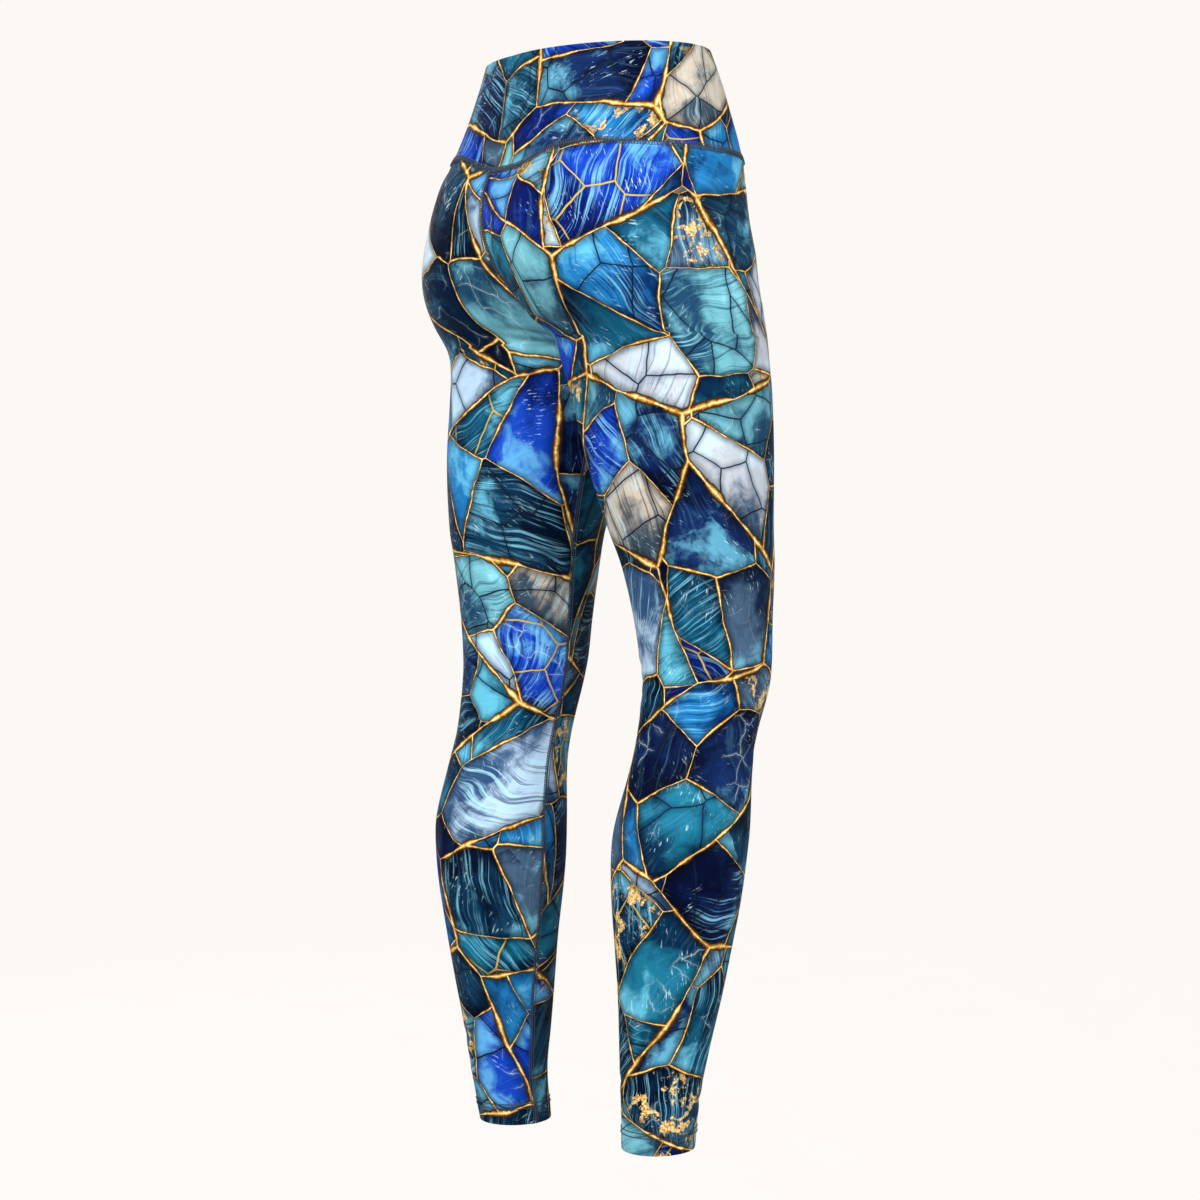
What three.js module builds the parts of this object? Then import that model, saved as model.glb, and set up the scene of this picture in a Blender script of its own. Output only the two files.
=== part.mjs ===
import * as THREE from 'three';

// Leggings filled out as they are worn, with no wearer: a high waistband and two one-piece legs, in mm.
// The origin is the middle of the waist opening. +Z is up, the front faces -Y and the wearer's left is +X.

// Driving dimensions
const WAISTBAND_HEIGHT = 88;
const HEM_LEVEL = -930;
const HEM_DEPTH = 19;
const CROTCH_LEVEL = -245;
const SEAM_GAP = 0.3;

// Cloth: one layer in the legs, turned up once at the hems, folded double in the waistband
const LEG_CLOTH = 1.2;
const HEM_CLOTH = 2.2;
const BAND_CLOTH = 2.4;

// How finely the walls are divided
const LEG_COLUMNS = 30;
const BAND_COLUMNS = 60;
const ARC_STEPS = 400;

// Rows of a leg from the waist seam to the hem stitching: the level where each span ends, and its steps
const LEG_SPANS = [
  { to: -176, steps: 5 },
  { to: -227, steps: 5 },
  { to: CROTCH_LEVEL, steps: 4 },
  { to: -269, steps: 3 },
  { to: -395, steps: 7 },
  { to: -635, steps: 11 },
  { to: HEM_LEVEL + HEM_DEPTH, steps: 11 },
];
const BAND_ROWS = 6;

// Sections of one side. At each level the side is a rounded lobe about its own centre, which stands
// `lobe` from the middle plane; `width` is its half width, `front` and `back` its reach from the centre.
// Squareness 2 is an ellipse; more than 2 fills the inner quarter, towards the other side.
const SECTIONS = table(
  ['level', 'lobe', 'width', 'front', 'back', 'frontSquare', 'backSquare'],
  [
    [0, 14, 113, 75, 86, 2.1, 2.1],
    [-43, 22, 120, 87, 96, 2.2, 2.1],
    [-88, 32, 126, 97, 108, 2.6, 2.1],
    [-111, 44, 120, 99, 113.5, 3, 2.1],
    [-144, 60, 110, 98, 115.5, 3.4, 2.3],
    [-176, 72, 103, 98.5, 114, 3.5, 2.3],
    [-199, 78, 98, 93.5, 111, 3.4, 2.2],
    [-223, 83, 92.5, 87.5, 103, 3.1, 2.2],
    [CROTCH_LEVEL, 87, 86.8, 83, 90, 2.8, 2.2],
    [-263, 88, 84.5, 82.5, 86, 2.5, 2.1],
    [-291, 88, 82, 83, 83, 2.2, 2],
    [-340, 88, 77, 81, 81, 2, 2],
    [-403, 88, 67, 71, 71, 2, 2],
    [-435, 87, 62, 66, 66, 2, 2],
    [-481, 86, 56, 60, 60, 2, 2],
    [-517, 84, 53.5, 57, 57, 2, 2],
    [-539, 82.5, 52, 55, 55, 2, 2],
    [-582, 81, 48.5, 52, 52, 2, 2],
    [-611, 80, 50, 53.5, 53.5, 2, 2],
    [-657, 80, 55, 59, 59, 2, 2],
    [-685, 79.5, 55, 59, 59, 2, 2],
    [-718, 79, 52, 56.5, 56.5, 2, 2],
    [-760, 78, 46.5, 51, 51, 2, 2],
    [-799, 77, 41.5, 46, 46, 2, 2],
    [-850, 76, 35, 39, 39, 2, 2],
    [-884, 75.5, 31.5, 35, 35, 2, 2],
    [HEM_LEVEL, 75, 29, 32, 32, 2, 2],
  ],
);

// Where the sections stand: `centre` is how far behind the middle, and `stride` how much further back the
// left leg is and further ahead the right, its knee a little bent. Above the crotch the stride fades
// towards the middle seam; `whole` is the share of it that moves the inner side too.
const STANCE = table(
  ['level', 'centre', 'stride', 'whole'],
  [
    [0, 0, 0, 0],
    [-43, -1, 0, 0],
    [-88, 1, 0, 0],
    [-111, 5, 0, 0],
    [-144, 8, 1, 0],
    [-176, 9, 3, 0],
    [-199, 6, 5, 0],
    [-223, 0, 7.5, 0],
    [CROTCH_LEVEL, -5, 9.5, 0],
    [-263, -6, 11, 0.1],
    [-291, -5.5, 15, 0.5],
    [-340, -5.5, 20.7, 1],
    [-403, -7, 31, 1],
    [-435, -10.5, 35.5, 1],
    [-481, -13, 39, 1],
    [-517, -14, 42, 1],
    [-539, -12.5, 44, 1],
    [-582, -3.5, 44.5, 1],
    [-611, 2.5, 45.5, 1],
    [-657, 10, 44.5, 1],
    [-685, 12, 43.5, 1],
    [-760, 14, 41, 1],
    [-799, 14.5, 39, 1],
    [-850, 16, 35, 1],
    [-884, 17, 33, 1],
    [HEM_LEVEL, 15, 29, 1],
  ],
);
const STRIDE_FADE = 85;

// The waist isn't level: a point drops by `drop` for each mm that it lies further back, rises by `roll`
// for each mm further to the wearer's left, and sinks by `dip` in the hollow of the back
const WAIST_LINE = table(
  ['level', 'drop', 'roll', 'dip'],
  [
    [0, 0.03, 0.035, 0],
    [-88, -0.03, 0.035, 18],
    [-145, 0, 0.015, 7],
    [-195, 0, 0, 0],
    [-255, 0, 0, 0],
    [HEM_LEVEL, 0, 0, 0],
  ],
);
const DIP_CENTRE = -26;
const DIP_BREADTH = 58;

// Soft folds on each leg: `around` runs from the front seam, 0, to the back seam, 1
const FOLDS = [
  { level: -247, around: 0.92, reach: 0.14, rise: 12, breadth: 11, depth: 4 },
];

// Turns rows of numbers into rows of named values
function table(columns, rows) {
  return rows.map((row) => Object.fromEntries(columns.map((name, i) => [name, row[i]])));
}

// Reads one column of a table at any level, as a smooth curve through its rows
function valueAt(rows, column, level) {
  const last = rows.length - 1;
  if (level >= rows[0].level) return rows[0][column];
  if (level <= rows[last].level) return rows[last][column];
  let i = 0;
  while (rows[i + 1].level > level) i += 1;
  const slope = (a, b) => (rows[b][column] - rows[a][column]) / (rows[b].level - rows[a].level);
  const tangent = (k) => slope(Math.max(k - 1, 0), Math.min(k + 1, last));
  const span = rows[i + 1].level - rows[i].level;
  const t = (level - rows[i].level) / span;
  return (
    rows[i][column] * (2 * t ** 3 - 3 * t ** 2 + 1) +
    rows[i + 1][column] * (3 * t ** 2 - 2 * t ** 3) +
    tangent(i) * span * (t ** 3 - 2 * t ** 2 + t) +
    tangent(i + 1) * span * (t ** 3 - t ** 2)
  );
}

const signedPower = (value, power) => Math.sign(value) * Math.abs(value) ** power;

// One side's outline at one level, from the front seam round the outside to the back seam.
// Above the crotch it stops at the middle plane; below it, it closes at the inside leg seam.
class SideOutline extends THREE.Curve {
  constructor(level, leg) {
    super();
    this.arcLengthDivisions = ARC_STEPS;
    for (const column of ['lobe', 'width', 'front', 'back', 'frontSquare', 'backSquare']) {
      this[column] = valueAt(SECTIONS, column, level);
    }
    this.centre = valueAt(STANCE, 'centre', level);
    this.stride = valueAt(STANCE, 'stride', level) * (leg === 'left' ? 1 : -1);
    this.whole = valueAt(STANCE, 'whole', level);
    this.frontEnd = -this.endAngle(this.front, this.frontSquare);
    this.backEnd = this.endAngle(this.back, this.backSquare);
  }

  endAngle(reach, square) {
    const inward = Math.min(1, (this.lobe - SEAM_GAP / 2) / this.width);
    const atMiddlePlane = Math.acos(inward ** (square / 2));
    const atInsideLegSeam = Math.asin((SEAM_GAP / 2 / reach) ** (square / 2));
    return Math.PI - Math.max(atMiddlePlane, atInsideLegSeam);
  }

  getPoint(t, target = new THREE.Vector3()) {
    const angle = THREE.MathUtils.lerp(this.frontEnd, this.backEnd, t);
    const ahead = angle < 0;
    const reach = ahead ? this.front : this.back;
    const inner = Math.cos(angle) < 0;
    const square = inner ? (ahead ? this.frontSquare : this.backSquare) : 2;
    const x = this.lobe + this.width * signedPower(Math.cos(angle), 2 / square);
    const share = THREE.MathUtils.lerp(THREE.MathUtils.smoothstep(x, 0, STRIDE_FADE), 1, this.whole);
    const y = this.centre + this.stride * share + reach * signedPower(Math.sin(angle), 2 / square);
    return target.set(x, y, 0);
  }
}

// Points of one side at one level, evenly spaced along the outline, on the uneven waist
function sidePoints(level, leg, columns) {
  const [drop, roll, dip] = ['drop', 'roll', 'dip'].map((name) => valueAt(WAIST_LINE, name, level));
  const side = leg === 'left' ? 1 : -1;
  return new SideOutline(level, leg).getSpacedPoints(columns).map((point) => {
    const fromDip = Math.abs(side * point.x - DIP_CENTRE) / DIP_BREADTH;
    const sunk = point.y > 0 ? dip * Math.exp(-(fromDip ** 3)) : 0;
    return point.setZ(level - drop * point.y + roll * side * point.x - sunk);
  });
}

// Outward direction at each point of a grid whose rows run away from the fold-free edge
function outwardAt(grid, row, column, closed) {
  const columns = grid[0].length;
  const wrap = (c) => (closed ? (c + columns) % columns : THREE.MathUtils.clamp(c, 0, columns - 1));
  const above = grid[Math.max(row - 1, 0)][column];
  const below = grid[Math.min(row + 1, grid.length - 1)][column];
  const along = grid[row][wrap(column + 1)].clone().sub(grid[row][wrap(column - 1)]);
  return below.clone().sub(above).cross(along).normalize();
}

// Depth of the soft folds at a place on a leg
function foldDepth(level, around) {
  return FOLDS.reduce((sum, fold) => {
    const along = (around - fold.around) / fold.reach;
    const across = (level - fold.level + fold.rise * along) / fold.breadth;
    return sum + fold.depth * Math.exp(-(along ** 2) - across ** 2);
  }, 0);
}

// A cloth wall from the points of its outer face. Row 0 is the sewn edge; the last row is a rounded fold.
function clothWall(outer, thickness, closed, mirrored) {
  const rows = outer.length;
  const columns = outer[0].length;
  const loops = outer[0].map((_, column) => {
    const normals = outer.map((_, row) => outwardAt(outer, row, column, closed));
    const inner = outer.map((points, row) =>
      points[column].clone().addScaledVector(normals[row], -thickness(row)),
    );
    const foldRadius = thickness(rows - 1) / 2;
    const edge = outer[rows - 1][column];
    const outOfEdge = edge.clone().sub(outer[rows - 2][column]).normalize();
    const cap = [Math.PI / 3, (2 * Math.PI) / 3].map((turn) =>
      edge
        .clone()
        .addScaledVector(normals[rows - 1], foldRadius * (Math.cos(turn) - 1))
        .addScaledVector(outOfEdge, foldRadius * Math.sin(turn)),
    );
    return [...outer.map((points) => points[column]), ...cap, ...inner.reverse()];
  });
  const around = loops[0].length;
  const index = (column, k) => (column % columns) * around + (k % around);
  const faces = [];
  const quad = (a, b, c, d) => faces.push([a, b, c], [a, c, d]);
  for (let column = 0; column < (closed ? columns : columns - 1); column += 1) {
    for (let k = 0; k < around; k += 1) {
      quad(index(column, k), index(column, k + 1), index(column + 1, k + 1), index(column + 1, k));
    }
  }
  if (!closed) {
    for (let k = 0; k < around / 2 - 1; k += 1) {
      const far = around - 1 - k;
      quad(index(0, k), index(0, far), index(0, far - 1), index(0, k + 1));
      const end = columns - 1;
      quad(index(end, k), index(end, k + 1), index(end, far - 1), index(end, far));
    }
  }
  const side = mirrored ? -1 : 1;
  const geometry = new THREE.BufferGeometry();
  const positions = loops.flat().flatMap((point) => [side * point.x, point.y, point.z]);
  geometry.setAttribute('position', new THREE.Float32BufferAttribute(positions, 3));
  geometry.setIndex(faces.flatMap(([a, b, c]) => (mirrored ? [a, c, b] : [a, b, c])));
  geometry.computeVertexNormals();
  return geometry;
}

// Levels of a leg's rows; the wall steps to the double thickness of the hem between two close rows
function legLevels() {
  const levels = [-WAISTBAND_HEIGHT - SEAM_GAP / 2];
  for (const { to, steps } of LEG_SPANS) {
    const from = levels[levels.length - 1];
    for (let step = 1; step <= steps; step += 1) {
      levels.push(THREE.MathUtils.lerp(from, to, step / steps));
    }
  }
  const hemTop = HEM_LEVEL + HEM_DEPTH;
  levels.push(hemTop - 1, hemTop - HEM_DEPTH / 2, HEM_LEVEL + HEM_CLOTH / 2);
  return levels;
}

function legGeometry(leg) {
  const levels = legLevels();
  const smooth = levels.map((level) => sidePoints(level, leg, LEG_COLUMNS));
  const folded = smooth.map((points, row) =>
    points.map((point, column) => {
      const depth = foldDepth(levels[row], column / LEG_COLUMNS);
      return point.clone().addScaledVector(outwardAt(smooth, row, column, false), -depth);
    }),
  );
  const hemTop = HEM_LEVEL + HEM_DEPTH;
  const thickness = (row) => (levels[row] < hemTop - 0.5 ? HEM_CLOTH : LEG_CLOTH);
  return clothWall(folded, thickness, false, leg === 'right');
}

// The band goes once round: the left half from the front, then the right half back to the front
function bandGeometry() {
  const top = -BAND_CLOTH / 2;
  const bottom = -WAISTBAND_HEIGHT + SEAM_GAP / 2;
  const rows = Array.from({ length: BAND_ROWS + 1 }, (_, row) => {
    const level = THREE.MathUtils.lerp(bottom, top, row / BAND_ROWS);
    const left = sidePoints(level, 'left', BAND_COLUMNS / 2);
    left[0].x = 0;
    left[left.length - 1].x = 0;
    const right = sidePoints(level, 'right', BAND_COLUMNS / 2)
      .slice(1, -1)
      .reverse()
      .map((point) => new THREE.Vector3(-point.x, point.y, point.z));
    return [...left, ...right].reverse();
  });
  return clothWall(rows, () => BAND_CLOTH, true, false);
}

function cloth(name, color, geometry) {
  const material = new THREE.MeshStandardMaterial({ color, roughness: 0.72, metalness: 0 });
  const mesh = new THREE.Mesh(geometry, material);
  mesh.name = name;
  return mesh;
}

const leggings = new THREE.Group();
leggings.add(
  cloth('waistband', 0x1f5c8c, bandGeometry()),
  cloth('left_leg', 0x1a4f86, legGeometry('left')),
  cloth('right_leg', 0x1c5590, legGeometry('right')),
);

export default leggings;
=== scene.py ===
"""Printed leggings, filled out as they are worn, on a plain stage.

The cloth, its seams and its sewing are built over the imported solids, in the same frame, in metres.
Sizes in the tables and in the functions that read them are in millimetres, as a pattern maker's are.
"""

import copy
import math
from types import SimpleNamespace

import bpy
import numpy as np
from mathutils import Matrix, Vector


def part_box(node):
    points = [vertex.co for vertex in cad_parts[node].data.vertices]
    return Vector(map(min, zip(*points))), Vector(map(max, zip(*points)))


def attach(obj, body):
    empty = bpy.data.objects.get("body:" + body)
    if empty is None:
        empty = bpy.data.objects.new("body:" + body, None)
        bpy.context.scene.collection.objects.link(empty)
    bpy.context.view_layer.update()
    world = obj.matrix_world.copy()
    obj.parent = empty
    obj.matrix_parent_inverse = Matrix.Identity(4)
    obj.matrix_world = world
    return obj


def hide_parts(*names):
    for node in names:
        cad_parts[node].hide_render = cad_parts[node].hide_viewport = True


bl_info = {
    "name": "Printed leggings",
    "version": (1, 0, 0),
    "blender": (4, 5, 0),
    "location": "3D View > Sidebar > Leggings",
    "description": "Builds worn leggings with their print, seams and sewing",
    "category": "Add Mesh",
}

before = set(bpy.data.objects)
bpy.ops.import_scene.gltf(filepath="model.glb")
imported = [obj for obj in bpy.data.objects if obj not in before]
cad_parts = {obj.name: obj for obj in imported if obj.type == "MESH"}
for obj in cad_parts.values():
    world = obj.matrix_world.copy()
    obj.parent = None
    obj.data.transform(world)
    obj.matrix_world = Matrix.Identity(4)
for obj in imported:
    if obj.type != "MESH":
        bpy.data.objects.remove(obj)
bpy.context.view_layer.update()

MM = 0.001
WAISTBAND_HEIGHT = 88
CROTCH_LEVEL = -245
HEM_LEVEL = round(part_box("left_leg")[0].z / MM)
HEM_DEPTH = 19
HEM_TOP = HEM_LEVEL + HEM_DEPTH
HEM_STITCH_ROWS = (15, 19)
SEAM_GAP = 0.3
LEG_CLOTH = 1.2
HEM_CLOTH = 2.2
BAND_CLOTH = 2.4
KNIT_LOOPS = 1500.0

# How the cloth lies at its sewing: its rise over a seam, the hollow beside that, the small waves along the
# centre seams, the waist and the hems, the hems' doubled edge and the slack of the whole cloth
SEAM_RISE = {"height": 0.45, "breadth": 3, "waist_breadth": 3.2}
SEAM_HOLLOW = {"depth": 0.3, "place": 9, "breadth": 4}
PUCKER = {"height": 0.16, "breadth": 8}
GATHER = {"height": 0.14, "breadth": 9}
HEM_EDGE = {"height": 0.35, "row_depth": 0.32, "row_breadth": 1.1}
HEM_RIPPLE = {"height": 0.18, "reach": 30, "place": 17, "breadth": 8}
SLACK = {"leg": 0.22, "band": 0.35}

# Fineness of the cloth: points round each piece, rows for each step of a span, steps of an outline and of
# a folded edge, and points along each seam
LEG_COLUMNS = 128
BAND_COLUMNS = 360
ROWS_PER_STEP = 6
ARC_STEPS = 600
FOLD_STEPS = 8
SEAM_STATIONS = {"waist": 721, "centre": 200, "inside": 500, "hem": 400}
MIRROR = np.array([-1, 1, 1])

# Where each span of a leg's rows ends and its steps, then the steps down to the hem's top, the rows of the
# hem and the band's steps
LEG_SPANS = ((-176, 5), (-227, 5), (CROTCH_LEVEL, 5), (-269, 4), (-395, 7), (-635, 11))
LAST_SPAN_STEPS = 12
HEM_ROWS = 15
BAND_STEPS = 5

# Sections of one side: the lobe's centre stands `lobe` from the middle plane, `width` is its half width,
# `front` and `back` its reach, and squareness over 2 fills the inner quarter
SECTION_COLUMNS = ("level", "lobe", "width", "front", "back", "front_square", "back_square")
SECTIONS = (
    (0, 14, 113, 75, 86, 2.1, 2.1),
    (-43, 22, 120, 87, 96, 2.2, 2.1),
    (-88, 32, 126, 97, 108, 2.6, 2.1),
    (-111, 44, 120, 99, 113.5, 3, 2.1),
    (-144, 60, 110, 98, 115.5, 3.4, 2.3),
    (-176, 72, 103, 98.5, 114, 3.5, 2.3),
    (-199, 78, 98, 93.5, 111, 3.4, 2.2),
    (-223, 83, 92.5, 87.5, 103, 3.1, 2.2),
    (CROTCH_LEVEL, 87, 86.8, 83, 90, 2.8, 2.2),
    (-263, 88, 84.5, 82.5, 86, 2.5, 2.1),
    (-291, 88, 82, 83, 83, 2.2, 2),
    (-340, 88, 77, 81, 81, 2, 2),
    (-403, 88, 67, 71, 71, 2, 2),
    (-435, 87, 62, 66, 66, 2, 2),
    (-481, 86, 56, 60, 60, 2, 2),
    (-517, 84, 53.5, 57, 57, 2, 2),
    (-539, 82.5, 52, 55, 55, 2, 2),
    (-582, 81, 48.5, 52, 52, 2, 2),
    (-611, 80, 50, 53.5, 53.5, 2, 2),
    (-657, 80, 55, 59, 59, 2, 2),
    (-685, 79.5, 55, 59, 59, 2, 2),
    (-718, 79, 52, 56.5, 56.5, 2, 2),
    (-760, 78, 46.5, 51, 51, 2, 2),
    (-799, 77, 41.5, 46, 46, 2, 2),
    (-850, 76, 35, 39, 39, 2, 2),
    (-884, 75.5, 31.5, 35, 35, 2, 2),
    (HEM_LEVEL, 75, 29, 32, 32, 2, 2),
)

# `centre` is how far behind the middle a section stands, `stride` how much further back the left leg is
# and further ahead the right, and `whole` the share of the stride that moves the inner side too
STANCE_COLUMNS = ("level", "centre", "stride", "whole")
STANCE = (
    (0, 0, 0, 0),
    (-43, -1, 0, 0),
    (-88, 1, 0, 0),
    (-111, 5, 0, 0),
    (-144, 8, 1, 0),
    (-176, 9, 3, 0),
    (-199, 6, 5, 0),
    (-223, 0, 7.5, 0),
    (CROTCH_LEVEL, -5, 9.5, 0),
    (-263, -6, 11, 0.1),
    (-291, -5.5, 15, 0.5),
    (-340, -5.5, 20.7, 1),
    (-403, -7, 31, 1),
    (-435, -10.5, 35.5, 1),
    (-481, -13, 39, 1),
    (-517, -14, 42, 1),
    (-539, -12.5, 44, 1),
    (-582, -3.5, 44.5, 1),
    (-611, 2.5, 45.5, 1),
    (-657, 10, 44.5, 1),
    (-685, 12, 43.5, 1),
    (-760, 14, 41, 1),
    (-799, 14.5, 39, 1),
    (-850, 16, 35, 1),
    (-884, 17, 33, 1),
    (HEM_LEVEL, 15, 29, 1),
)
STRIDE_FADE = 85

# How far ahead of a leg's innermost line the inside leg seam runs
SEAM_COLUMNS = ("level", "ahead")
SEAM_LINE = (
    (0, 0),
    (CROTCH_LEVEL, 0),
    (-300, 4),
    (-400, 11),
    (-560, 13),
    (-740, 12),
    (-820, 6),
    (HEM_LEVEL, 5),
)

# The waist isn't level: a point sinks by `drop` for each mm further back, rises by `roll` for each mm
# further to the wearer's left, and sinks by `dip` in the hollow of the back. `valley` rounds the cloth
# in at the centre seams.
HIP_COLUMNS = ("level", "drop", "roll", "dip", "valley")
HIPS = (
    (0, 0.03, 0.035, 0, 2),
    (-88, -0.03, 0.035, 18, 4),
    (-145, 0, 0.015, 7, 7),
    (-195, 0, 0, 0, 7),
    (-227, 0, 0, 0, 5),
    (CROTCH_LEVEL, 0, 0, 0, 0),
    (-300, 0, 0, 0, 0),
    (HEM_LEVEL, 0, 0, 0, 0),
)
DIP_CENTRE = -26
DIP_BREADTH = 58

# The flatlock: its bed's width and height, how high its threads lie and, as shares of the seam's width and
# of the stitches' pitch, how wide the zigzag is, where the rows run and how long a stitch is
FLATLOCK = {
    "bed": (1.6, 0.5),
    "lift": 0.05,
    "zigzag_width": 0.92,
    "zigzag_lift": 0.25,
    "row_place": 0.48,
    "row_lift": 0.15,
    "stitch": 0.86,
}
INSIDE_LEG_BED = (1.5, 0.6)
INSIDE_LEG_LIFT = 0.1
STITCH_SHARE = 0.84
STITCH_LIFT = 0.2

# A stitch from end to end: its place in half lengths, and its height and thickness in half threads
STITCH_FORM = ((-1, -0.9, 0.45), (-0.72, 0.35, 0.95), (0, 0.75, 1), (0.72, 0.35, 0.95), (1, -0.9, 0.45))

# The fold under the seat: `around` runs from the front seam, 0, to the back seam, 1
SEAT_FOLD = {"level": -247, "around": 0.92, "reach": 0.14, "rise": 12, "breadth": 11, "depth": 4}

# Soft creases on both legs: the place, as `level` and `around`, the way they run in degrees up from
# level towards the front, their length, breadth and depth in mm, and the leg they are on
CREASE_COLUMNS = ("leg", "level", "around", "turn", "length", "breadth", "depth")
CREASES = (
    ("both", -236, 0.955, 14, 62, 3.6, 1.7),
    ("both", -246, 0.930, -4, 84, 4.2, 2.0),
    ("both", -259, 0.925, -17, 66, 4.0, 1.3),
    ("left", -272, 0.900, -28, 58, 4.6, 0.9),
    ("right", -268, 0.905, -24, 70, 4.4, 1.1),
    ("both", -214, 0.075, -32, 74, 5.0, 1.6),
    ("both", -229, 0.095, -20, 92, 4.6, 1.9),
    ("both", -243, 0.105, -7, 80, 4.2, 1.5),
    ("left", -259, 0.090, 8, 56, 4.0, 1.0),
    ("right", -262, 0.110, 12, 64, 4.4, 1.3),
    ("both", -292, 0.960, -38, 60, 5.0, 0.9),
    ("both", -318, 0.045, 36, 66, 5.2, 0.8),
    ("left", -527, 0.760, 6, 62, 4.2, 0.8),
    ("left", -541, 0.730, -5, 74, 4.4, 0.9),
    ("right", -519, 0.770, 9, 70, 4.0, 1.4),
    ("right", -532, 0.740, -3, 86, 4.4, 1.7),
    ("right", -546, 0.750, -12, 64, 4.2, 1.2),
    ("right", -561, 0.720, 4, 52, 4.0, 0.8),
    ("both", -588, 0.250, 3, 46, 5.0, 0.7),
    ("both", -853, 0.700, 8, 52, 4.2, 0.7),
    ("both", -872, 0.760, -6, 60, 4.0, 0.9),
    ("both", -889, 0.300, 5, 48, 3.8, 0.7),
    ("left", -864, 0.250, -9, 44, 4.0, 0.6),
    ("right", -880, 0.200, 7, 50, 4.0, 0.6),
)

# How a crease bends and fades out, and the low ridge on both sides of its trough
CREASE_SHAPE = {"bend": 0.08, "fade": 1.5, "ridge": 0.32, "ridge_place": 2.3}

# The stones' colours and the share of the stones that has each
STONE_SHARES = (
    ("navy", 0.12),
    ("deep_teal", 0.14),
    ("royal", 0.12),
    ("teal", 0.12),
    ("midnight", 0.10),
    ("aqua", 0.10),
    ("slate", 0.05),
    ("cerulean", 0.09),
    ("pale", 0.08),
    ("silver", 0.05),
    ("cream", 0.03),
)

# Colours that shade and line the stones, whatever their own colour
PRINT_TONES = ("deep", "bright", "stroke", "scratch", "marble", "dark_crack", "gold_crack")

# Where each piece's print starts on the printed cloth, in metres, so that it breaks at the seams
PRINT_START = {"left": (0.31, 0.12), "right": (2.47, 1.36), "band": (5.05, 3.58)}

# The camera: its distance from the upright axis, its height and its angles
CAMERA_AZIMUTH = 240
CAMERA_DISTANCE = 2.04
CAMERA_HEIGHT = -0.392
CAMERA_PITCH = -2.05
CAMERA_LENS = 70.35
SENSOR_WIDTH = 36
FAR_CLIP = 200

# The lamps, by their angle round the axis from the camera's, in degrees and metres, with their warmth
LAMP_COLUMNS = ("azimuth", "distance", "height", "size", "power", "warmth")
LAMPS = {
    "key_softbox": (-30, 2.7, 0.8, 1.6, 112, 0.99),
    "fill_softbox": (42, 2.8, 0.1, 2.0, 64, 1.0),
    "top_softbox": (170, 1.2, 1.9, 1.6, 22, 1.0),
    "back_softbox": (205, 2.9, 0.2, 2.0, 20, 1.0),
}
LIT_POINT = (0, 0, -0.42)

# The backdrop and the floor give less light than they show, so that the cloth keeps its shadows
AMBIENT = 0.44
FLOOR_GLOW = 0.40
FLOOR_SHOWN = 0.972
FLOOR_LEVEL = -1.35
FLOOR_RADIUS = 40.0
FLOOR_SIDES = 96


def column_of(rows, names, name):
    """One column of a table, as an array."""
    index = names.index(name)
    return np.array([row[index] for row in rows], float)


def smooth_column(rows, names, name, level):
    """One column of a table at any levels, as a smooth curve through its rows."""
    knots = column_of(rows, names, "level")[::-1]
    values = column_of(rows, names, name)[::-1]
    level = np.clip(level, knots[0], knots[-1])
    tangents = np.empty_like(values)
    tangents[1:-1] = (values[2:] - values[:-2]) / (knots[2:] - knots[:-2])
    tangents[0] = (values[1] - values[0]) / (knots[1] - knots[0])
    tangents[-1] = (values[-1] - values[-2]) / (knots[-1] - knots[-2])
    i = np.clip(np.searchsorted(knots, level, side="right") - 1, 0, len(knots) - 2)
    span = knots[i + 1] - knots[i]
    t = (level - knots[i]) / span
    return (
        values[i] * (2 * t**3 - 3 * t**2 + 1)
        + values[i + 1] * (3 * t**2 - 2 * t**3)
        + tangents[i] * span * (t**3 - 2 * t**2 + t)
        + tangents[i + 1] * span * (t**3 - t**2)
    )


def signed_power(value, power):
    """A power that keeps the value's sign."""
    return np.sign(value) * np.abs(value) ** power


def smoothstep(low, high, value):
    """0 up to one value and 1 from another, with a smooth rise between them."""
    t = np.clip((value - low) / (high - low), 0, 1)
    return t * t * (3 - 2 * t)


def bell(distance, breadth):
    """A soft bump, 1 at no distance and about a third at its breadth."""
    return np.exp(-((distance / breadth) ** 2))


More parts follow.
